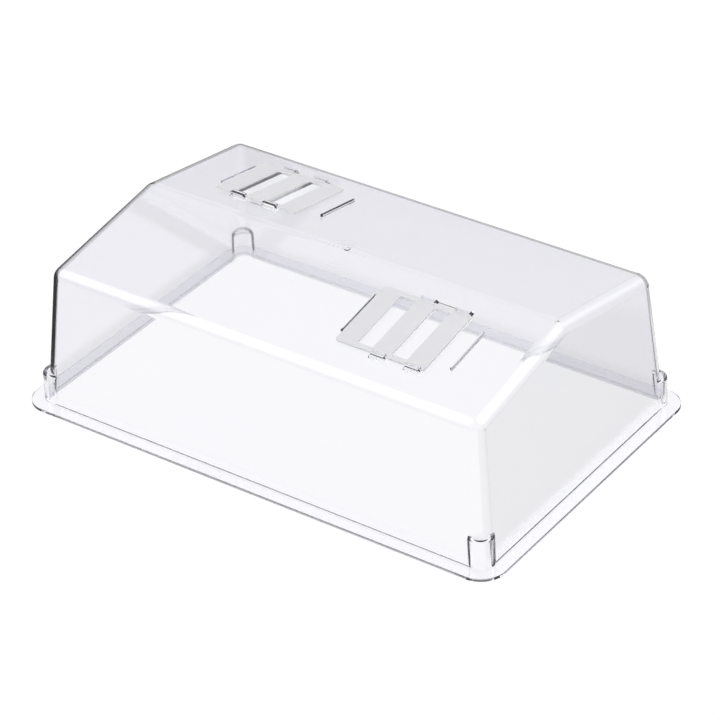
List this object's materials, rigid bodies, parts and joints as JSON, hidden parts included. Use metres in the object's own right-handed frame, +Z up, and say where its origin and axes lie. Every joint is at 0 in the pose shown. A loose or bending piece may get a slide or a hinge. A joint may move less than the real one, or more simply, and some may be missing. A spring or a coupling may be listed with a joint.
{
  "type": "seed tray humidity dome",
  "caption": "Clear gabled hood with a flat rim, hollow corner bosses and sliding slotted vent plates held by hooked clips on its roof.",
  "frame": {"origin": "underside of the rim, below the middle of the ridge", "axes": "+X along the ridge and the long side, +Y from the front long side to the rear one, +Z up out of the roof"},
  "size_m": [0.3808, 0.2464, 0.1217],
  "materials": {
    "clear_shell": "glossy clear polystyrene",
    "frosted_plate": "satin frosted translucent polypropylene"
  },
  "bodies": {
    "hood": {"clear_hood": "clear_shell"},
    "front_vent": {"front_vent_plate": "frosted_plate"},
    "rear_vent": {"rear_vent_plate": "frosted_plate"}
  },
  "joints": [
    {"name": "front_vent_slide", "type": "slide", "parent": "hood", "child": "front_vent", "axis": [1, 0, 0], "range_m": [0, 0.0132]},
    {"name": "rear_vent_slide", "type": "slide", "parent": "hood", "child": "rear_vent", "axis": [1, 0, 0], "range_m": [0, 0.0132]}
  ]
}
